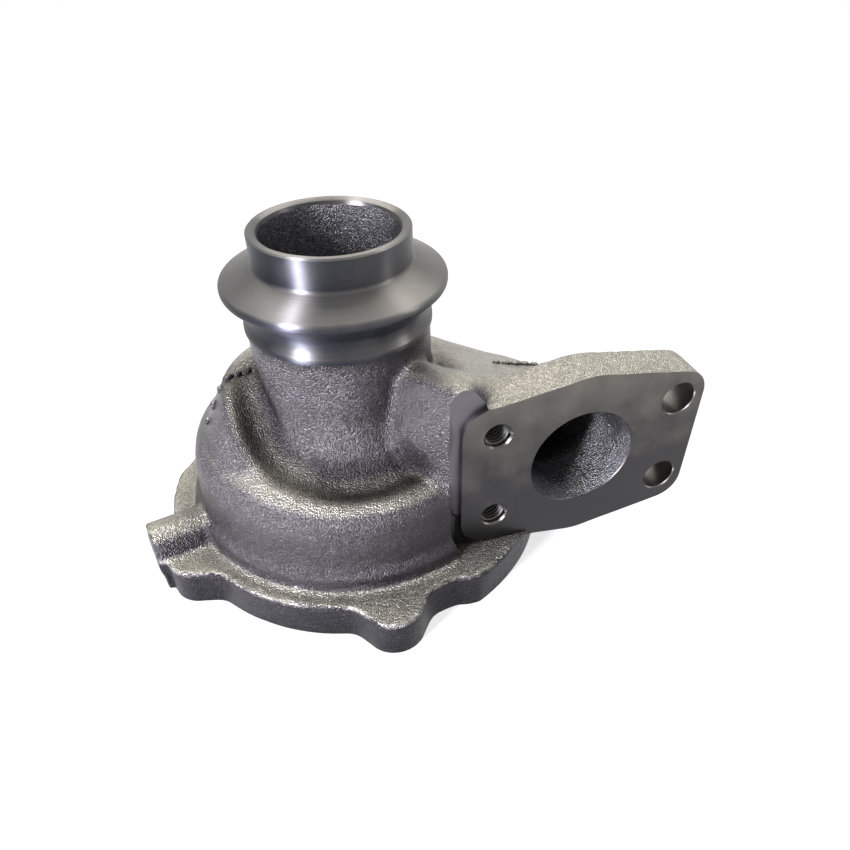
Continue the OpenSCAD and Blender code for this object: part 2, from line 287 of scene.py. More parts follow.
def lattice_noise(size, seed):
    """Smooth noise from -1 to 1 over the grid, from a random lattice of this size in millimetres."""
    draws = np.random.default_rng(seed)
    counts = [int((axis[-1] - axis[0]) / size) + 4 for axis in grid_axes]
    found = draws.uniform(-1, 1, counts).astype(np.float32)
    for k, axis in enumerate(grid_axes):
        place = (axis - axis[0]) / size + 1
        low = place.astype(int)
        share = ease(place - low, 0, 1)
        weights = np.zeros((len(axis), counts[k]), np.float32)
        weights[np.arange(len(axis)), low] = 1 - share
        weights[np.arange(len(axis)), low + 1] += share
        found = np.moveaxis(np.tensordot(weights, found, axes=(1, k)), 0, k)
    return found


# Scroll, cast round a core: its section shrinks and its reach falls as it winds round the axis from the duct.
# Each circle below is a reach, a height and a radius, by the share s of the duct or by the degrees a wound.
SCROLL_Z = 31.4
REACH_START, REACH_END, REACH_FALL = 72.5, 49.0, 45.0
DUCT_R, SECTION_R, SECTION_END_R = 20.0, 16.6, 9.0
BODY_SWEEP, GAS_SWEEP = 250.0, 300.0
GAS_WALL, GAS_END_R = 5.0, 5.0
INLET_Z, PORT_X = 39.6, 62.6
FACE_Y, PLATE_BACK = -46.8, -33.0


def reach(a):
    return REACH_END + (REACH_START - REACH_END) * np.exp(-a / REACH_FALL)


def section(a):
    return SECTION_END_R + (SECTION_R - SECTION_END_R) * (
        1 - 0.34 * ease(a, 0, 30) - 0.08 * ease(a, 30, 180) - 0.58 * ease(a, 180, 290))


def centre_z(a):
    return SCROLL_Z - 3.4 * ease(a, -10, 30) + 3.4 * ease(a, 90, 170) - 3 * ease(a, 190, 290)


def main_circle(s, a):
    """Outer circle of the section, from the port down the duct and round the axis."""
    fall_x = ease(s, -1.25, 0.45) / ease(0, -1.25, 0.45)
    fall_z = ease(s, -1.1, 0.3) / ease(0, -1.1, 0.3)
    fall_r = ease(s, -1, 0.2) / ease(0, -1, 0.2)
    duct = (PORT_X - (PORT_X - REACH_START + SECTION_R) * fall_x,
            INLET_Z - (INLET_Z - SCROLL_Z) * fall_z,
            DUCT_R - (DUCT_R - SECTION_R) * fall_r)
    wound = (reach(a) - section(a), centre_z(a), section(a))
    return [np.where(s < 0, d, w) for d, w in zip(duct, wound)]


def leaning_circle(s, a):
    """Circle on the inner side of the section, which fills the scroll up to the neck's shoulder."""
    duct = (30 - 7 * s, 45.5 - 6 * s, 12.5 + 0.8 * s)
    wound = (30 - 2.5 * ease(a, 0, 170) + 5 * ease(a, 175, 215),
             45.5 - 4.5 * ease(a, 0, 50) + 7 * ease(a, 60, 175) - 15 * ease(a, 176, 226),
             12.5 + 0.5 * ease(a, 90, 175) - 2 * ease(a, 190, 250))
    return [np.where(s < 0, d, w) for d, w in zip(duct, wound)]


def gas_circle(s, a):
    """Circle of the gas passage, a wall's thickness inside the outer circle."""
    u, v, r = main_circle(s, a)
    wound_r = GAS_END_R + (SECTION_R - GAS_WALL - GAS_END_R) * np.maximum(1 - a / 310, 0) ** 0.8
    duct = (u, v, r - GAS_WALL - 1.2 * ease(-s, 0, 1))
    wound = (reach(a) - GAS_WALL - wound_r, centre_z(a), wound_r)
    return [np.where(s < 0, d, w) for d, w in zip(duct, wound)]


def throat_circle(s, a):
    """Circle at the passage's throat, which opens it to the wheel chamber."""
    u, v, r = gas_circle(s, a)
    w = ease(np.where(s < 0, s, a), -0.7, 20)
    return [u + (36 - u) * w, v + (25.5 - v) * w, (r - 1) * (1 - w) + 3.6 * w]


angle = np.degrees(np.arctan2(gy, gx)) % 360


def swept(first, second, sweep, duct_x, end_blend):
    """Distance to the two circles carried along the duct (x over duct_x, y below 0) and round the axis."""
    in_duct = (gy < 0) & (gx > duct_x)
    share = np.where(in_duct, np.clip(-gy / PLATE_BACK, -1.3, 0) - 1e-6, 0.0)
    wound = np.where(in_duct, 0, np.minimum(angle, sweep))
    found = two_circle_distance(np.where(in_duct, gx, radius), gz, first(share, wound), second(share, wound))
    over = np.where(angle > (sweep + 360) / 2, 360 - angle, angle - sweep)
    over = np.where(in_duct, -20.0, np.maximum(over * np.pi / 180 * np.maximum(radius, 10), -20))
    found = blend_max(found, over, end_blend)
    return np.where(in_duct, blend_max(found, PLATE_BACK - 4 - gy, 1), found)


scroll = swept(main_circle, leaning_circle, BODY_SWEEP, 14, 8)
gas = swept(gas_circle, throat_circle, GAS_SWEEP, 30, 3)

# Dome and neck, two turned forms of the pattern, as radius and height: the neck's steep foot, the low shelf
# round it, the side of the scroll's small end, and the step above the base flange.
dome_profile = spline([(24.0, 54), (26.7, 51.6), (27.8, 49.5), (29.3, 47.0), (31.2, 44.6), (33.2, 42.3),
                       (34.9, 40.4), (36.4, 39.1), (38.2, 38.5), (40.5, 38.7), (43.0, 39.1), (45.3, 39.1),
                       (47.4, 38.4), (49.5, 36.6), (50.9, 33.4), (51.7, 28), (52.4, 21.6), (53.0, 19.4),
                       (54.2, 18.0), (54.7, 16.4), (54.7, 10)]) + [(54.7, -6), (0, -6), (0, 54)]
dome = turned_distance(dome_profile)
NECK_R = 27.4
neck = turned_distance([(0, 46), (NECK_R, 46), (NECK_R, 62), (NECK_R, 72.4), (27.75, 74), (28.35, 76.2),
                        (34.4, 78.5), (34.4, 110), (0, 110)])

# Base flange: a round rim cast with five bolt lugs, two pads and a boss that lies on it at the left. The sixth
# bolt goes into the short pad beside the boss. Angles are in degrees from +X.
RIM_R, RIM_T = 60.8, 12.7
LUG_COUNT, LUG_R, LUG_NOSE, LUG_PITCH, LUG_FIRST = 5, 9.2, 70.0, 66.0, -158.5
BOLT_R, SHORT_BOLT_R = 59.5, 57.0
WIDE_PAD, SHORT_PAD = (64.8, -67, -26), (63.3, 163, 180)
BOSS_ANGLE, BOSS_R, BOSS_ROOT, BOSS_REACH = -168.0, 8.3, 42, 71.2


def arc_points(centre, r, a, b, n):
    """Points along an arc from a to b degrees, in n steps."""
    turns = [math.radians(a + (b - a) * i / n) for i in range(n + 1)]
    return [(centre[0] + r * math.cos(t), centre[1] + r * math.sin(t)) for t in turns]


lug_outline = ([(RIM_R - 12, LUG_R + 3.5), (RIM_R - 2.5, LUG_R + 4.6), (RIM_R + 0.9, LUG_R + 1.4)]
               + arc_points((LUG_NOSE - LUG_R, 0), LUG_R, 62, -62, 10)
               + [(RIM_R + 0.9, -LUG_R - 1.4), (RIM_R - 2.5, -LUG_R - 4.6), (RIM_R - 12, -LUG_R - 3.5)])


def pad_outline(r, a, b):
    """A pad of radius r from a to b degrees, which runs out into the rim past both ends."""
    rise = r - RIM_R
    run_out = [(RIM_R - 0.4, 8.5), (RIM_R + 0.2 * rise, 5.5), (RIM_R + 0.65 * rise, 3)]
    return ([(0, 0)] + [arc_points((0, 0), edge_r, a - past, a - past, 1)[0] for edge_r, past in run_out]
            + arc_points((0, 0), r, a, b, 14)
            + [arc_points((0, 0), edge_r, b + past, b + past, 1)[0] for edge_r, past in reversed(run_out)])


def in_turned_axes(degrees):
    """The grid's plan, as distances along and across a line at these degrees."""
    turn = math.radians(degrees)
    return flat_x * math.cos(turn) + flat_y * math.sin(turn), -flat_x * math.sin(turn) + flat_y * math.cos(turn)


flat_x, flat_y = gx[:, :, 0], gy[:, :, 0]
rim_flat = np.hypot(flat_x, flat_y) - RIM_R
for i in range(LUG_COUNT):
    lug_u, lug_v = in_turned_axes(LUG_FIRST + LUG_PITCH * i)
    rim_flat = blend_min(rim_flat, outline_distance(lug_outline, lug_u, lug_v), 1.2)
for pad in (WIDE_PAD, SHORT_PAD):
    rim_flat = blend_min(rim_flat, outline_distance(pad_outline(*pad), flat_x, flat_y), 1)
boss_u, boss_v = in_turned_axes(BOSS_ANGLE)
boss_foot = outline_distance([(BOSS_ROOT, -BOSS_R), (BOSS_REACH, -BOSS_R), (BOSS_REACH, BOSS_R),
                              (BOSS_ROOT, BOSS_R)], boss_u, boss_v)
rim_flat = blend_min(rim_flat, boss_foot, 1)
rim = slab_distance(rim_flat[:, :, None], gz, -8, RIM_T, 0.9)
boss_round = np.hypot(boss_v[:, :, None], gz - (RIM_T - 1.2)) - BOSS_R
boss = slab_distance(boss_round, boss_u[:, :, None], BOSS_ROOT - 2, BOSS_REACH, 0.8)

# Inlet flange: an oblong plate with a low crown along its top and bottom, cast with the duct and the web that
# carry it, and milled on its face. Left of BASE_SHOWS_X the base flange keeps its raw edge below the plate.
INLET_X, PLATE_Z, BASE_SHOWS_X = 63.6, 39.3, 46
PLATE_HALF, PLATE_CORNER, PLATE_END, PLATE_TOP, PLATE_CROWN = 39.3, 8.6, 25.6, 30.3, 22.0


def plate_outline(w):
    """The flange's outline in X and Z, moved out by w."""
    ex, ez = PLATE_HALF - PLATE_CORNER, PLATE_END - PLATE_CORNER
    tz = PLATE_TOP - PLATE_CROWN
    tilt = math.degrees(math.atan((PLATE_TOP - PLATE_END) / ex)) * 1.25
    rows = (arc_points((ex, -ez), PLATE_CORNER + w, tilt - 90, 0, 6)
            + arc_points((ex, ez), PLATE_CORNER + w, 0, 90 - tilt, 6)
            + arc_points((0, tz), PLATE_CROWN + w, 90 - tilt, 90 + tilt, 4)
            + arc_points((-ex, ez), PLATE_CORNER + w, 90 + tilt, 180, 6)
            + arc_points((-ex, -ez), PLATE_CORNER + w, 180, 270 - tilt, 6)
            + arc_points((0, -tz), PLATE_CROWN + w, 270 - tilt, 270 + tilt, 4))
    return [(x + INLET_X - 1, z + PLATE_Z) for x, z in rows]


plate_flat = outline_distance(plate_outline(0), grid_axes[0][:, None], grid_axes[2][None, :])[:, None, :]
plate = slab_distance(plate_flat, gy, FACE_Y - 4, PLATE_BACK, 1.0)
plate = np.maximum(plate, np.where((gz < RIM_T) & (gx < BASE_SHOWS_X), FACE_Y + 0.4 - gy, -FAR))

# Web and rib from the neck to the inlet flange, each the tight skin round a few balls, and the gusset under the
# flange's near corner. The skin is only worked out in the part of the grid from WEB_LOW to WEB_HIGH.
WEB_LOW, WEB_HIGH = (-10, -58, 14), (70, 10, 82)
BALL_POINTS = 130
GUSSET_X, GUSSET_Y, GUSSET_TOP = 26.0, -38.2, 24
golden = math.pi * (3 - math.sqrt(5))
near = tuple(slice(int(np.searchsorted(axis, lo)), int(np.searchsorted(axis, hi)))
             for axis, lo, hi in zip(grid_axes, WEB_LOW, WEB_HIGH))


def stretched_skin(balls):
    """Distance to the tight skin round some balls, each given as x, y, z and radius."""
    skin = bmesh.new()
    for bx, by, bz, br in balls:
        for i in range(BALL_POINTS):
            rise = 1 - 2 * (i + 0.5) / BALL_POINTS
            flat = br * math.sqrt(1 - rise * rise)
            skin.verts.new((bx + flat * math.cos(golden * i), by + flat * math.sin(golden * i), bz + br * rise))
    bmesh.ops.convex_hull(skin, input=skin.verts, use_existing_faces=False)
    skin.normal_update()
    middle = Vector(np.mean(balls, axis=0)[:3])
    inside = np.full([s.stop - s.start for s in near], -FAR, np.float32)
    for face in skin.faces:
        n = face.normal if face.normal.dot(face.verts[0].co - middle) > 0 else -face.normal
        inside = np.maximum(inside, n.x * gx[near[0]] + n.y * gy[:, near[1]] + n.z * gz[:, :, near[2]]
                            - n.dot(face.verts[0].co))
    skin.free()
    found = np.full([len(a) for a in grid_axes], FAR, np.float32)
    found[near] = inside
    return found


web = stretched_skin([(25.4, -40, 62, 6), (27, -36, 57, 12), (17, -22, 49.5, 10), (50, -34, 52, 9.5),
                      (38, -10, 44, 11), (27, -34, 34, 13)])
rib = stretched_skin([(24.4, -43.2, 67.8, 4.6), (14, -18, 60.5, 7.5), (26.5, -36, 57, 11.5),
                      (14.5, -30, 44, 6)])
web = blend_min(web, rib, 3)
gusset_r = np.clip(7.4 - (gz - 8) * 3 / 16, 3.4, 8)
gusset = np.hypot(gx - GUSSET_X, gy - GUSSET_Y) - gusset_r
gusset = blend_max(gusset, gz - GUSSET_TOP, 4)

# The pattern's parts run into each other with the moulder's fillets.
body = blend_min(dome, scroll, 4)
body = blend_min(body, web, 4)
body = blend_min(body, neck, 2.5)

# Hollow round the foot of the neck: a groove that drops from the left shoulder to the front, where it ends
# against the web. A mask over it and beside it paints shade into the finish.
groove_r = 31 + 7 * ease(angle, 178, 240)
groove_z = 62 - 16 * ease(angle, 172, 228) - 2.5 * ease(angle, 222, 262)
groove_end = np.maximum(166 - angle, angle - 276) * np.pi / 180 * np.maximum(radius, 10)
groove_round = np.hypot(radius - groove_r, gz - groove_z) - 4.4
groove = blend_max(groove_round, groove_end, 8)
# Painted shade: this mask is 1 in and beside the groove, where the skin is made darker.
hollow = (ease(groove_round, 3.6 + 5 * ease(angle, 226, 200), 0.8) * ease(angle, 156, 174)
          * ease(angle, 308, 280))
body = blend_max(body, -groove, 5)

# The gusset, the inlet flange, the side boss and the base flange join it with fillets of their own.
body = blend_min(body, blend_max(gusset, -8 - gz, 1), 5)
body = blend_min(body, plate, 3)
body = blend_min(body, boss, 2)
body = blend_min(body, rim, 2.4)

# The skin waves a little, and the raw casting stands proud of the part's box only above and below, where it is
# machined.
skin_noise = 0.13 * lattice_noise(7.0, 3)
body = body + skin_noise
for axis, low, high, proud in zip((gx, gy, gz), *cad_box, (-0.03, -0.03, 4)):
    body = np.maximum(body, np.maximum(low / MM - proud - axis, axis - high / MM - proud))

# Sand cores leave the gas passage, the outlet bore, the recess under the base and the tapered inlet port.
PORT_R, PORT_NARROWS, PORT_DEPTH = 16.9, 2.3, 15.4
bore_core = turned_distance([(0, 30), (17.2, 30), (17.2, 46), (19.7, 60), (19.8, 112), (0, 112)])
port_core_r = PORT_R - 0.12 - (gy - FACE_Y) * PORT_NARROWS / PORT_DEPTH
port_core = np.hypot(gx - PORT_X, gz - INLET_Z) - port_core_r
port_core = blend_max(port_core, gy - (PLATE_BACK + 1.5), 1)
recess_core = turned_distance([(0, -8), (45, -8), (45, 6), (41, 6), (41, 16), (39.5, 16), (39.5, 25.3),
                               (16, 25.3), (16, 40), (0, 40)])
cores = blend_min(blend_min(gas, port_core, 3), bore_core, 1)
cores = np.minimum(cores, recess_core) + 1.2 * skin_noise


def poured(field, every):
    """Points and outward faces of the surface where the field is 0, read at every n-th grid point."""
    volume = openvdb.FloatGrid()
    volume.background = FAR
    thinned = np.clip(field[::every, ::every, ::every], -FAR, FAR)
    volume.copyFromArray(np.ascontiguousarray(thinned, dtype=np.float32))
    points, _, quads = volume.convertToPolygons(0.0, 0.0)
    points = points * GRID_STEP * every + GRID_LOW
    a, b, c, d = (points[quads[:, k]] for k in range(4))
    size = np.einsum("ij,ij->i", a, np.cross(b, c)).sum() + np.einsum("ij,ij->i", a, np.cross(c, d)).sum()
    return points, quads if size > 0 else quads[:, ::-1]


def mesh_object(name, points, faces, edges=()):
    """A new object in the scene with this mesh."""
    mesh = bpy.data.meshes.new(name)
    mesh.from_pydata([tuple(p) for p in points], edges, [tuple(int(i) for i in f) for f in faces])
    mesh.validate()
    made = bpy.data.objects.new(name, mesh)
    scene.collection.objects.link(made)
    return made


def signed_volume(points, faces):
    """Six times the volume inside the faces, negative if they point inwards."""
    total = 0.0
    for face in faces:
        a = points[face[0]]
        for b, c in zip(face[1:], face[2:]):
            total += (a[0] * (points[b][1] * points[c][2] - points[b][2] * points[c][1])
                      - a[1] * (points[b][0] * points[c][2] - points[b][2] * points[c][0])
                      + a[2] * (points[b][0] * points[c][1] - points[b][1] * points[c][0]))
    return total


def outward(points, faces):
    """The faces, turned over if they point inwards."""
    return faces if signed_volume(points, faces) > 0 else [tuple(reversed(f)) for f in faces]


def turned(profile, count):
    """Points and faces of a closed profile turned about Z. A point on the axis becomes a pole."""
    points, rings, faces = [], [], []
    for r, z in profile:
        if r == 0:
            rings.append([len(points)])
            points.append((0, 0, z))
        else:
            rings.append(list(range(len(points), len(points) + count)))
            points += [(r * math.cos(2 * math.pi * i / count), r * math.sin(2 * math.pi * i / count), z)
                       for i in range(count)]
    for low, high in zip(rings, rings[1:] + rings[:1]):
        if len(low) == 1 and len(high) == 1:
            continue
        for i in range(count):
            j = (i + 1) % count
            if len(low) == 1:
                faces.append((low[0], high[j], high[i]))
            elif len(high) == 1:
                faces.append((low[i], low[j], high[0]))
            else:
                faces.append((low[i], low[j], high[j], high[i]))
    return points, outward(points, faces)


def prism(outline, y0, y1):
    """Points and faces of an outline in X and Z carried along Y."""
    n = len(outline)
    points = [(x, y, z) for y in (y0, y1) for x, z in outline]
    faces = [(i, (i + 1) % n, n + (i + 1) % n, n + i) for i in range(n)]
    faces += [tuple(reversed(range(n))), tuple(range(n, 2 * n))]
    return points, outward(points, faces)


def box(low, high):
    """Points and faces of a box from its low to its high corner."""
    outline = [(low[0], low[2]), (high[0], low[2]), (high[0], high[2]), (low[0], high[2])]
    return prism(outline, low[1], high[1])


casting = mesh_object("housing_casting", *poured(body, 1))

# Machining: the outlet end is turned with its clamp ridge and spigot, the base is faced and bored, the inlet
# flange is milled, and its holes and the base bolts' holes are drilled. Each cutter is a closed shape.
# Profiles are radius and height, from the land on the neck over the cone and the ridge to the spigot's rim.
LAND_R, LAND_Z, CONE_Z, TOP_Z = 28.05, 73.4, 76.1, 103.0
RIDGE_MIDDLE_R, RIDGE_EDGE_R, SPIGOT_R = 31.3, 1.5, 22.9
LIP_LOW_R, LIP_LOW_Z = 19.4, 101.0
RECESS_MOUTH_R, REGISTER_R, RECESS_TOP_Z = 47.8, 47.0, 26
turned_profile = (
    [(LAND_R, LAND_Z), (LAND_R, 76.3)]
    + spline([(28.0, 76.5), (27.5, 77.4), (27.0, 78.8), (27.0, 80.9), (27.5, 82.3), (28.6, 83.5)], 4)
    + arc_points((RIDGE_MIDDLE_R, 87.9), RIDGE_EDGE_R, -48, 0, 5)
    + arc_points((RIDGE_MIDDLE_R, 88.4), RIDGE_EDGE_R, 0, 62, 5)
    + arc_points((24.3, 94.6), 1.4, -118, -180, 6)
    + [(SPIGOT_R, 102.55), (22.45, TOP_Z)])
outlet_cutter = turned_profile + [(0, TOP_Z), (0, TOP_Z + 6), (48, TOP_Z + 6), (48, LAND_Z)]
bore_lip = [(20.95, TOP_Z + 0.5), (20.95, TOP_Z), (20.15, 102.4), (20.1, 102.1), (LIP_LOW_R, LIP_LOW_Z),
            (19.0, LIP_LOW_Z), (19.0, TOP_Z + 5), (20.95, TOP_Z + 5)]
recess = [(10, -9), (RECESS_MOUTH_R, -9), (RECESS_MOUTH_R, 0), (REGISTER_R, 0.8), (REGISTER_R, 7), (43, 7),
          (43, 17), (41, 17), (41, RECESS_TOP_Z), (24, RECESS_TOP_Z), (23.4, 29), (21.8, 33), (18.2, 38),
          (18.2, 50), (10, 50)]
TAPPED_R, MOUTH_R, TAPPED_DEPTH, THROUGH_R = 3.95, 4.45, 16.0, 5.5
HOLE_DX, HOLE_DZ = 59.2, 31.0
NECK_SIDE, FREE_SIDE = -1, 1
tapped = [(0, -3), (MOUTH_R + 0.6, -3), (MOUTH_R + 0.05, -0.05), (TAPPED_R, 0.55), (TAPPED_R, TAPPED_DEPTH),
          (0, TAPPED_DEPTH + 2)]
plain = [(0, -3), (THROUGH_R + 0.35, -3), (THROUGH_R + 0.3, 0), (THROUGH_R, 0.3), (THROUGH_R, 16), (0, 16)]
port_mouth = [(0, -3), (PORT_R + 0.35, -3), (PORT_R + 0.3, 0), (PORT_R, 0.3), (PORT_R - 1.0, 7), (0, 7)]
base_hole = [(0, -3), (3.9, -3), (3.9, 0), (3.4, 0.5), (3.4, 10), (0, 11.5)]


def inlet_holes(side):
    """X and Z of the two holes at one end of the inlet flange."""
    return [(INLET_X + side * HOLE_DX / 2, INLET_Z + level * HOLE_DZ / 2) for level in (-1, 1)]


def base_bolts():
    """X and Y of the six bolts under the base: one in each lug, and one in the short pad."""
    turns = [math.radians(LUG_FIRST + LUG_PITCH * i) for i in range(LUG_COUNT + 1)]
    return [(r * math.cos(turn), r * math.sin(turn))
            for r, turn in zip([BOLT_R] * LUG_COUNT + [SHORT_BOLT_R], turns)]


into_face = Matrix.Rotation(math.radians(-90), 4, "X")
as_made = Matrix.Identity(4)
cutters = [("base_cut", *box((-90, -90, -20), (130, 90, 0)), as_made),
           ("cores", *poured(cores, 2), as_made),
           ("outlet_turning", *turned(outlet_cutter, 180), as_made),
           ("lip_bore", *turned(bore_lip, 144), as_made),
           ("recess_bore", *turned(recess, 144), as_made),
           ("port_mouth", *turned(port_mouth, 112), Matrix.Translation((PORT_X, FACE_Y, INLET_Z)) @ into_face)]
for side, hole in ((NECK_SIDE, tapped), (FREE_SIDE, plain)):
    for x, z in inlet_holes(side):
        cutters.append(("drill", *turned(hole, 48), Matrix.Translation((x, FACE_Y, z)) @ into_face))
for x, y in base_bolts():
    cutters.append(("base_drill", *turned(base_hole, 32), Matrix.Translation((x, y, 0))))


def cut(target, name, points, faces, place, operation="DIFFERENCE"):
    """Take the shape, put in its place, off the target, or join it with operation UNION."""
    tool = mesh_object(name, points, faces)
    tool.data.transform(place)
    modifier = target.modifiers.new(name, "BOOLEAN")
    modifier.operation = operation
    modifier.solver = "MANIFOLD"
    modifier.object = tool
    bpy.context.view_layer.update()
    found = bpy.data.meshes.new_from_object(target.evaluated_get(bpy.context.evaluated_depsgraph_get()))
    target.modifiers.clear()
    old, target.data = target.data, found
    bpy.data.meshes.remove(old)
    bpy.data.objects.remove(tool)


# The milling cutter faces the flange and steps down past its left edge, to a shelf and to the corner below it.
# It comes from well in front of the flange, and what is kept is taken out of its way first.
SHELF_STEP, CORNER_STEP, IN_FRONT = 1.7, 1.62, 24.5
shelf_outline = [(19.7, 30.5), (20.3, 28.0), (21.6, 26.3), (24.4, 25.3), (30.5, 25.3), (30.5, 76.0),
                 (25.0, 76.0), (22.2, 72.2), (20.7, 70.0), (19.9, 67.6), (19.7, 65.0)]
corner_outline = [(20.8, 12.75), (30.5, 12.75), (30.5, 28.0), (21.0, 28.0)]
flange_kept = prism(plate_outline(0.1), FACE_Y - 30, FACE_Y + 5)
base_kept = box((-10, -90, -30), (BASE_SHOWS_X, -20, RIM_T + 0.05))
for name, shape, kept in (
        ("shelf_milling", prism(shelf_outline, FACE_Y - IN_FRONT, FACE_Y + SHELF_STEP), flange_kept),
        ("corner_milling", prism(corner_outline, FACE_Y - IN_FRONT, FACE_Y + CORNER_STEP), flange_kept),
        ("face_milling", prism(plate_outline(3.9), FACE_Y - 24, FACE_Y), base_kept)):
    cutter = mesh_object(name, *shape)
    cut(cutter, "kept", *kept, as_made)
    cutters.insert(0, (name, [tuple(v.co) for v in cutter.data.vertices],
                       [tuple(p.vertices) for p in cutter.data.polygons], as_made))
    bpy.data.objects.remove(cutter)
for cutter in cutters:
    cut(casting, *cutter)


class Recipe:
    """A Geometry Nodes tree with named inputs, made in the order its nodes are added."""

    def __init__(self, name, **inputs):
        self.tree = bpy.data.node_groups.new(name, "GeometryNodeTree")
        self.tree.interface.new_socket("Geometry", in_out="INPUT", socket_type="NodeSocketGeometry")
        self.values = {}
        for label, value in inputs.items():
            kind = {float: "Float", int: "Int"}.get(type(value), "Object")
            socket = self.tree.interface.new_socket(label.replace("_", " "), in_out="INPUT",
                                                    socket_type="NodeSocket" + kind)
            self.values[socket.identifier] = value
        self.tree.interface.new_socket("Geometry", in_out="OUTPUT", socket_type="NodeSocketGeometry")
        self.given = self.tree.nodes.new("NodeGroupInput").outputs

    def add(self, kind, settings=(), **inputs):
        return add_node(self.tree, kind, settings, inputs).outputs

    def mesh(self, geometry, start, material):
        """Realize, set the material, run the tree on a start mesh and return the plain result."""
        painted = self.add("GeometryNodeSetMaterial", Geometry=self.add(
            "GeometryNodeRealizeInstances", Geometry=geometry)[0], Material=material)
        self.tree.links.new(painted[0], self.tree.nodes.new("NodeGroupOutput").inputs[0])
        holder = mesh_object(self.tree.name, *start)
        modifier = holder.modifiers.new(self.tree.name, "NODES")
        modifier.node_group = self.tree
        for identifier, value in self.values.items():
            modifier[identifier] = value
        bpy.context.view_layer.update()
        found = bpy.data.meshes.new_from_object(holder.evaluated_get(bpy.context.evaluated_depsgraph_get()))
        bpy.data.objects.remove(holder)
        points = [tuple(v.co) for v in found.vertices]
        faces = [tuple(p.vertices) for p in found.polygons]
        return points, outward(points, faces)


# Threads of the two tapped holes: a ridge of M8 pitch winds down the wall of each hole, as the tap leaves it.
# A three-sided ridge follows a spiral, and is joined to the iron.
thread = Recipe("inlet_thread", Pitch=1.25, Turns=9.0, Crest_radius=3.42, Ridge_size=0.72)
given = thread.given
crest = thread.add("ShaderNodeMath", {"operation": "ADD"}, _0=given["Crest radius"], _1=given["Ridge size"])[0]
length = thread.add("ShaderNodeMath", {"operation": "MULTIPLY"}, _0=given["Pitch"], _1=given["Turns"])[0]
helix = thread.add("GeometryNodeCurveSpiral", Resolution=30, Rotations=given["Turns"], Start_Radius=crest,
                   End_Radius=crest, Height=length)[0]
helix = thread.add("GeometryNodeSetCurveNormal", {"mode": "Z_UP"}, Curve=helix)[0]
ridge = thread.add("GeometryNodeCurvePrimitiveCircle", Resolution=3, Radius=given["Ridge size"])[0]
swept_ridge = thread.add("GeometryNodeCurveToMesh", Curve=helix, Profile_Curve=ridge, Fill_Caps=True)[0]
thread_points, thread_faces = thread.mesh(swept_ridge, ([(0, 0, 0)], []), None)
for x, z in inlet_holes(NECK_SIDE):
    place = Matrix.Translation((x, FACE_Y, z)) @ into_face
    cut(casting, "thread", thread_points, thread_faces, place @ Matrix.Translation((0, 0, 1.0)), "UNION")

# Foundry pips: two rows of small raised marks, cast on the left shoulder and on the scroll behind the neck.
# Each starts above its place and is set down on the iron under it.
pips = Recipe("foundry_pips", Casting=casting, Pip_radius=1.75, Pip_height=0.75, Seed=4)
given = pips.given
target = pips.add("GeometryNodeObjectInfo", Object=given["Casting"])["Geometry"]
cast_down = pips.add("GeometryNodeRaycast", Target_Geometry=target, Ray_Direction=(0, 0, -1), Ray_Length=200.0)
dome_shape = pips.add("GeometryNodeMeshIcoSphere", Radius=given["Pip radius"], Subdivisions=3)[0]
squash_to = pips.add("ShaderNodeCombineXYZ", X=1.0, Y=0.8, Z=given["Pip height"])[0]
dome_shape = pips.add("GeometryNodeTransform", Geometry=dome_shape, Scale=squash_to)[0]
lie = pips.add("FunctionNodeAlignRotationToVector", {"axis": "Z"}, Vector=cast_down["Hit Normal"])[0]
vary = pips.add("FunctionNodeRandomValue", {"data_type": "FLOAT"}, _2=0.75, _3=1.1, Seed=given["Seed"])[1]
set_down = pips.add("GeometryNodeInstanceOnPoints", Points=given["Geometry"], Instance=dome_shape, Rotation=lie,
                    Scale=vary)[0]
set_down = pips.add("GeometryNodeSetPosition", Geometry=set_down, Position=cast_down["Hit Position"])[0]
left_row = [(30.4 + 2.9 * i, math.radians(9 - 0.8 * i)) for i in range(6)]
pip_places = ([(-r * math.cos(turn), r * math.sin(turn), 74) for r, turn in left_row]
              + [(46 + 3.6 * i, -14.5 + 0.5 * i, 101) for i in range(5)])
cut(casting, "pips", *pips.mesh(set_down, (pip_places, []), None), as_made, "UNION")

# Flash: a thin ragged lip of iron where the mould halves met, along the upper edge of the base flange.
# It follows the line where a level plane just under that edge meets the iron.
LIP_DROP, LIP_SINK = 0.32, 0.9965
edge_mesh = bmesh.new()
edge_mesh.from_mesh(casting.data)
found = bmesh.ops.bisect_plane(edge_mesh, geom=edge_mesh.verts[:] + edge_mesh.edges[:] + edge_mesh.faces[:],
                               plane_co=(0, 0, RIM_T - LIP_DROP), plane_no=(0, 0, 1))["geom_cut"]


def sampled(flat, u, v, axes):
    """Read a flat table of distances at points u, v."""
    a = np.clip((np.asarray(u) - axes[0][0]) / GRID_STEP, 0, flat.shape[0] - 2)
    b = np.clip((np.asarray(v) - axes[1][0]) / GRID_STEP, 0, flat.shape[1] - 2)
    i, j = a.astype(int), b.astype(int)
    a, b = a - i, b - j
    return ((flat[i, j] * (1 - a) + flat[i + 1, j] * a) * (1 - b)
            + (flat[i, j + 1] * (1 - a) + flat[i + 1, j + 1] * a) * b)


def on_the_edge(c):
    """True at the rim's own edge, apart from the right half of the front lug's nose."""
    return abs(sampled(rim_flat, c.x, c.y, grid_axes)) < 0.9 and c.y > -66 - (c.x < 0) * 9


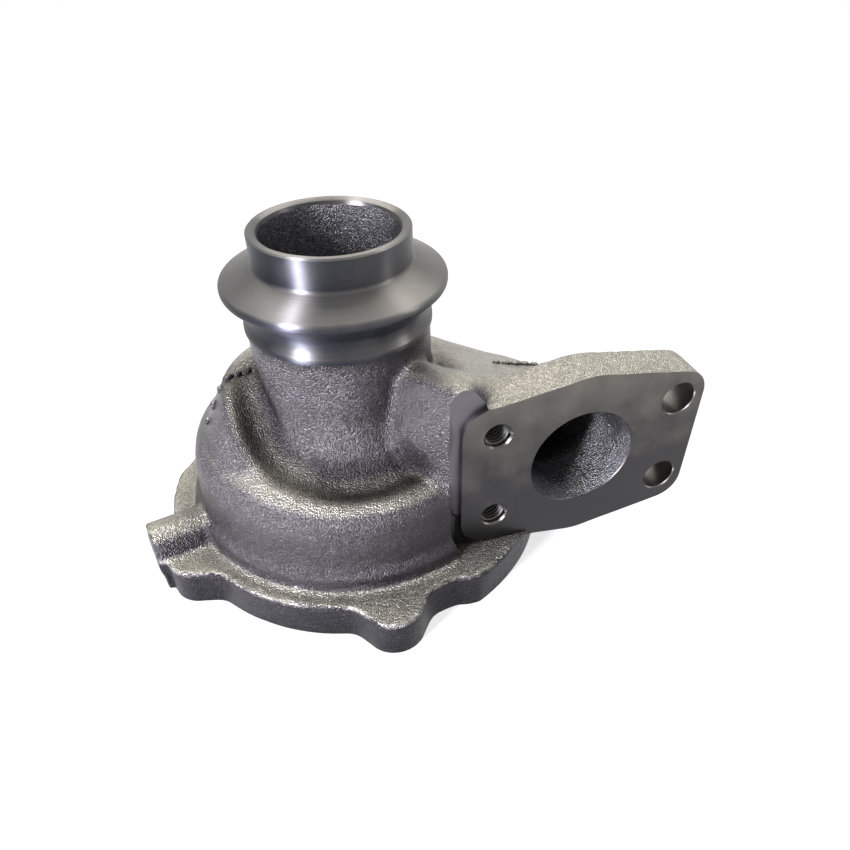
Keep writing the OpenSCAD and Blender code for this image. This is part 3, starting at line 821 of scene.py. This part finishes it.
lip_numbers, lip_points, lip_edges = {}, [], []
for edge in found:
    if not isinstance(edge, bmesh.types.BMEdge) or not all(on_the_edge(v.co) for v in edge.verts):
        continue
    ends = [(round(v.co.x, 4), round(v.co.y, 4)) for v in edge.verts]
    for end, v in zip(ends, edge.verts):
        if end not in lip_numbers:
            lip_numbers[end] = len(lip_points)
            lip_points.append((v.co.x * LIP_SINK, v.co.y * LIP_SINK, v.co.z))
    lip_edges.append([lip_numbers[end] for end in ends])
edge_mesh.free()
flash = Recipe("mould_flash", Step=1.0, Thin=0.10, Thick=0.42, Seed=3.0)
given = flash.given
line = flash.add("GeometryNodeMeshToCurve", Mesh=given["Geometry"])[0]
line = flash.add("GeometryNodeResampleCurve", {"mode": "LENGTH"}, Curve=line, Length=given["Step"])[0]
patches = flash.add("ShaderNodeTexNoise", {"noise_dimensions": "4D"}, W=given["Seed"], Scale=0.11, Detail=4.0,
                    Roughness=0.75)[0]
thickness = flash.add("ShaderNodeMapRange", Value=patches, From_Min=0.46, From_Max=0.66, To_Min=given["Thin"],
                      To_Max=given["Thick"])[0]
line = flash.add("GeometryNodeSetCurveNormal", {"mode": "Z_UP"}, Curve=line)[0]
thread_of_iron = flash.add("GeometryNodeCurvePrimitiveCircle", Resolution=5, Radius=1.0)[0]
swept_line = flash.add("GeometryNodeCurveToMesh", Curve=line, Profile_Curve=thread_of_iron, Scale=thickness,
                       Fill_Caps=True)[0]
flash_points, flash_faces = flash.mesh(swept_line, (lip_points, [], lip_edges), None)
cut(casting, "flash", flash_points, flash_faces, as_made, "UNION")
flash_tree = mathutils.kdtree.KDTree(len(flash_points))
for k, spot in enumerate(flash_points):
    flash_tree.insert(spot, k)
flash_tree.balance()

casting.data.transform(Matrix.Scale(MM, 4))
casting.data.set_sharp_from_angle(angle=math.radians(38))

# Finish: cast skin over most of the iron, and bare metal where it was turned, milled or drilled. A face's kind
# follows from where it lies, so that each machined surface ends at its own edge.
CAST, TURNED, MILLED, RELIEF, FLASH = range(5)
corner = np.empty(len(casting.data.vertices) * 3, np.float32)
casting.data.vertices.foreach_get("co", corner)
corner = corner.reshape(-1, 3) / MM
middle = np.empty(len(casting.data.polygons) * 3, np.float32)
casting.data.polygons.foreach_get("center", middle)
fx, fy, fz = (middle.reshape(-1, 3) / MM).T
fr = np.hypot(fx, fy)
behind_face = fy - FACE_Y
lip_r = LIP_LOW_R + 0.7 * (fz - LIP_LOW_Z) / 1.1
plate_off = sampled(plate_flat[:, 0, :], fx, fz, (grid_axes[0], grid_axes[2]))
kind = np.full(len(fx), CAST)
kind[(fz > CONE_Z) & (fr > 20.06)] = TURNED
kind[(fz > LAND_Z) & (np.abs(fr - LAND_R + 0.02) < 0.06)] = TURNED
kind[(fz > LIP_LOW_Z - 0.1) & (fr < 20.3) & (np.abs(fr - lip_r) < 0.06)] = TURNED
kind[(fz < 0.01) | ((fz < RECESS_TOP_Z - 0.1) & (fr < RECESS_MOUTH_R + 0.05))] = TURNED
kind[(fz > RECESS_TOP_Z - 0.5) & (fz < 50) & (fr < 24.1)] = TURNED
kind[(np.abs(behind_face - SHELF_STEP) < 0.02) & (fx > 19) & (fx < 31) & (fz > 25)] = RELIEF
kind[(np.abs(plate_off) < 0.3) & (behind_face < SHELF_STEP + 0.05) & (fx < 31) & (fz > 25.2)] = RELIEF
kind[np.abs(behind_face) < 0.01] = MILLED
for side, hole_r in ((NECK_SIDE, 4.55), (FREE_SIDE, 5.9)):
    for x, z in inlet_holes(side):
        kind[(np.hypot(fx - x, fz - z) < hole_r) & (behind_face > 0.01) & (fy < PLATE_BACK + 4)] = TURNED
for x, y in base_bolts():
    kind[(np.hypot(fx - x, fy - y) < 4) & (fz < 12)] = TURNED
port_off = np.hypot(fx - PORT_X, fz - INLET_Z)
kind[(port_off < PORT_R + 0.4) & (behind_face > 0.01) & (behind_face < 0.32)] = MILLED
for k in np.flatnonzero((np.abs(fz - RIM_T + 0.3) < 0.8) & (fr > 58)):
    if flash_tree.find((fx[k], fy[k], fz[k]))[2] < 0.22:
        kind[k] = FLASH

# Masks for the skin: the rim's side, which gets painted shade; its upper edge, worn and with a painted
# highlight; the walls that the cores left; and the hollow, which gets painted shade.
rim_off = sampled(rim_flat, corner[:, 0], corner[:, 1], grid_axes)
side = ease(corner[:, 2], 12.6, 11.6) * ease(rim_off, -2.2, -1.0)
worn_and_lit_edge = np.clip(1.1 - np.abs(rim_off + 0.3), 0, 1) * np.clip(1.2 - np.abs(corner[:, 2] - RIM_T + 0.1), 0, 1)
cell = tuple(np.clip((corner[:, k] - axis[0]) / GRID_STEP, 0, len(axis) - 1).round().astype(int)
             for k, axis in enumerate(grid_axes))
cored = ease(cores[cell], 1.8, 0.9)
for name, values in (("flange_side", side), ("cast_edge", worn_and_lit_edge), ("cored", cored), ("hollow", hollow[cell])):
    mask = casting.data.attributes.new(name, "FLOAT", "POINT")
    mask.data.foreach_set("value", np.ascontiguousarray(values, dtype=np.float32))


def mixed(shader, factor, first, second):
    """A colour between two, by the factor."""
    made = shader.node("ShaderNodeMix", {"data_type": "RGBA"}, Factor=factor)
    shader.put(made, 6, first)
    shader.put(made, 7, second)
    return made.outputs[2]


def mask_of(shader, name):
    """The mask with this name, from 0 to 1."""
    return shader.node("ShaderNodeAttribute", {"attribute_name": name}).outputs["Fac"]


def ramp(shader, value, low, high, to_low=0.0, to_high=1.0):
    """The value, spread from low to high onto another range and held at its ends."""
    return shader.node("ShaderNodeMapRange", Value=value, From_Min=low, From_Max=high, To_Min=to_low,
                       To_Max=to_high).outputs[0]


def upward(shader):
    """How far the surface faces up: 1 on a level top, 0 on a wall."""
    normal = shader.node("ShaderNodeNewGeometry").outputs["Normal"]
    return shader.node("ShaderNodeSeparateXYZ", Vector=normal).outputs["Z"]


# Cast skin: pebbled iron, with painted light that makes it grey-brown where it faces up, painted shade that
# makes its walls darker, most of all low down, and painted shade in its corners.
SHADED_LOW_WALL, SHADED_HIGH_WALL, LIT_LEVEL_TOP = (0.048, 0.045, 0.049, 1), (0.082, 0.077, 0.083, 1), (0.315, 0.301, 0.262, 1)
SHADED_FLANGE_SIDE, CORED_WALL, WORN_AND_LIT_EDGE = (0.024, 0.022, 0.028, 1), (0.105, 0.103, 0.110, 1), (0.42, 0.40, 0.37, 1)
iron = bpy.data.materials.new("cast_iron_skin")
skin = Shader(iron)
where = skin.node("ShaderNodeTexCoord").outputs["Object"]
facing = upward(skin)
pebble = skin.node("ShaderNodeTexVoronoi", {"feature": "SMOOTH_F1"}, Vector=where, Scale=2250.0, Smoothness=0.6,
                   Randomness=1.0).outputs["Distance"]
fine = skin.node("ShaderNodeTexNoise", Vector=where, Scale=3300.0, Detail=2.0, Roughness=0.6).outputs["Fac"]
lumps = skin.node("ShaderNodeTexNoise", Vector=where, Scale=620.0, Detail=2.0, Roughness=0.5).outputs["Fac"]
cloud = skin.node("ShaderNodeTexNoise", Vector=where, Scale=70.0, Detail=4.0, Roughness=0.6).outputs["Fac"]
height = skin.math("ADD", skin.math("SUBTRACT", skin.math("MULTIPLY", fine, 0.6), pebble),
                   skin.math("MULTIPLY", lumps, 0.9))
rough = skin.node("ShaderNodeBump", Strength=1.0, Distance=0.00033, Height=height)
# Painted light: the skin takes the light level-top tone where it faces up.
painted_top_light = ramp(skin, skin.math("ADD", facing, skin.math("MULTIPLY", cloud, 0.3)), 0.84, 1.15)
level = skin.node("ShaderNodeSeparateXYZ", Vector=where).outputs["Z"]
# Painted shade: the walls are darker, and darker still low down.
shaded_wall_tone = mixed(skin, ramp(skin, level, 0.020, 0.052), SHADED_LOW_WALL, SHADED_HIGH_WALL)
tone = mixed(skin, painted_top_light, shaded_wall_tone, LIT_LEVEL_TOP)
grain_and_painted_shade = ramp(skin, height, 0.1, 0.75, 0.65, 1.4)
# Painted shade: the rim's side is made near-black.
tone = mixed(skin, mask_of(skin, "flange_side"), tone, SHADED_FLANGE_SIDE)
tone = mixed(skin, skin.math("MULTIPLY", mask_of(skin, "cored"), 0.9), tone, CORED_WALL)
# The rim's upper edge is worn bare in patches, which also stands for a painted highlight where that edge
# catches the light.
worn_and_lit_part = skin.math("MULTIPLY", mask_of(skin, "cast_edge"), ramp(skin, cloud, 0.45, 0.6, 0.0, 0.5))
tone = mixed(skin, worn_and_lit_part, tone, WORN_AND_LIT_EDGE)
# Painted shade: ambient occlusion darkens the iron in its corners and creases.
painted_corner_shade = skin.node("ShaderNodeAmbientOcclusion", {"samples": 6}, Distance=0.016).outputs["AO"]
grain_and_painted_shade = skin.math("MULTIPLY", grain_and_painted_shade, ramp(skin, painted_corner_shade, 0.4, 0.95, 0.28, 1.0))
# Painted shade: the skin is darker in the hollow.
grain_and_painted_shade = skin.math("MULTIPLY", grain_and_painted_shade, ramp(skin, mask_of(skin, "hollow"), 0.0, 1.0, 1.0, 0.36))
shade = skin.node("ShaderNodeVectorMath", {"operation": "SCALE"}, Scale=grain_and_painted_shade)
skin.put(shade, 0, tone)
iron_bsdf = skin.node("ShaderNodeBsdfPrincipled", Metallic=0.9, Normal=rough.outputs[0],
                      Roughness=ramp(skin, cloud, 0.3, 0.7, 0.28, 0.38))
skin.put(iron_bsdf, "Base Color", shade.outputs[0])
skin.node("ShaderNodeOutputMaterial", Surface=iron_bsdf.outputs[0])


# Bare metal: fine tool lines run round the axis where it was turned, and in wide arcs about the milling head's
# middle where it was milled.
MILL_X, MILL_Z = -0.020, -0.045
PAINTED_LIGHT_FROM_Z = 0.042


def machined(name, low, high, spread, roughness, lines_lie, line_scale, anisotropy):
    """Metal between two tones with tool lines that lie "turned" or "milled", and with painted light and painted
    shade in its tone.
    """
    made = bpy.data.materials.new(name)
    metal = Shader(made)
    where = metal.node("ShaderNodeTexCoord").outputs["Object"]
    part = metal.node("ShaderNodeSeparateXYZ", Vector=where).outputs

    def distance(u, v):
        squares = metal.math("ADD", metal.math("MULTIPLY", u, u), metal.math("MULTIPLY", v, v))
        return metal.math("SQRT", squares)

    if lines_lie == "turned":
        along = metal.math("ADD", part["Z"], metal.math("MULTIPLY", distance(part["X"], part["Y"]), 0.83))
    else:
        along = distance(metal.math("SUBTRACT", part["X"], MILL_X), metal.math("SUBTRACT", part["Z"], MILL_Z))
    lines = metal.node("ShaderNodeTexNoise", {"noise_dimensions": "1D"}, Scale=1.0, Detail=3.0, Roughness=0.65,
                       W=metal.math("MULTIPLY", along, line_scale)).outputs["Fac"]
    cloud = metal.node("ShaderNodeTexNoise", Vector=where, Scale=90.0, Detail=3.0).outputs["Fac"]
    speck = metal.node("ShaderNodeTexNoise", Vector=where, Scale=2600.0, Detail=1.0).outputs["Fac"]
    height = metal.math("ADD", lines, metal.math("MULTIPLY", speck, 0.35))
    scratch = metal.node("ShaderNodeBump", Strength=0.5, Distance=0.00002, Height=height)
    share = metal.math("ADD", metal.math("MULTIPLY", cloud, 0.6), metal.math("MULTIPLY", lines, 0.4))
    # Painted light: faces with milled lines are lighter towards the top.
    if lines_lie == "milled":
        rise = metal.math("SUBTRACT", part["Z"], PAINTED_LIGHT_FROM_Z)
        share = metal.math("ADD", share, metal.math("MULTIPLY", rise, 11.0))
    else:
        # Painted light: turned faces are lighter where they face up and towards +X.
        share = metal.math("ADD", share, metal.math("MULTIPLY", upward(metal), 0.55))
        share = metal.math("ADD", share, metal.math("MULTIPLY", part["X"], 9.0))
    tone = mixed(metal, ramp(metal, share, *spread), low, high)
    # Painted shade: ambient occlusion darkens the metal in its corners.
    painted_corner_shade = metal.node("ShaderNodeAmbientOcclusion", {"samples": 6}, Distance=0.010).outputs["AO"]
    shade = metal.node("ShaderNodeVectorMath", {"operation": "SCALE"},
                       Scale=ramp(metal, painted_corner_shade, 0.3, 0.95, 0.35, 1.0))
    metal.put(shade, 0, tone)
    bsdf = metal.node("ShaderNodeBsdfPrincipled", Metallic=1.0, Anisotropic=anisotropy,
                      Normal=scratch.outputs[0],
                      Roughness=ramp(metal, cloud, 0.3, 0.7, roughness - 0.04, roughness + 0.05))
    if lines_lie == "turned":
        way = metal.node("ShaderNodeCombineXYZ", X=metal.math("MULTIPLY", part["Y"], -1.0), Y=part["X"], Z=0.0)
        metal.put(bsdf, "Tangent", metal.node("ShaderNodeVectorMath", {"operation": "NORMALIZE"},
                                              _0=way.outputs[0]).outputs[0])
        bsdf.inputs["Anisotropic Rotation"].default_value = 0.25
    metal.put(bsdf, "Base Color", shade.outputs[0])
    metal.node("ShaderNodeOutputMaterial", Surface=bsdf.outputs[0])
    return made


# The finishes stand in the order of the kinds of face.
casting.data.materials.clear()
for finish in (iron,
               machined("turned_iron", (0.046, 0.048, 0.060, 1), (0.145, 0.140, 0.136, 1), (0.36, 0.98), 0.42,
                        "turned", 5200.0, 0.9),
               machined("milled_iron", (0.050, 0.048, 0.050, 1), (0.150, 0.142, 0.128, 1), (0.42, 0.90), 0.36,
                        "milled", 5200.0, 0.0),
               machined("relief_iron", (0.090, 0.084, 0.098, 1), (0.150, 0.142, 0.158, 1), (0.25, 0.80), 0.40,
                        "milled", 3400.0, 0.0),
               machined("flash_iron", (0.20, 0.19, 0.18, 1), (0.42, 0.40, 0.38, 1), (0.25, 0.80), 0.40,
                        "milled", 3400.0, 0.0)):
    casting.data.materials.append(finish)
casting.data.polygons.foreach_set("material_index", kind.astype(np.int32))
casting.data.update()
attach(casting, "root")
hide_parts("turbine_housing")
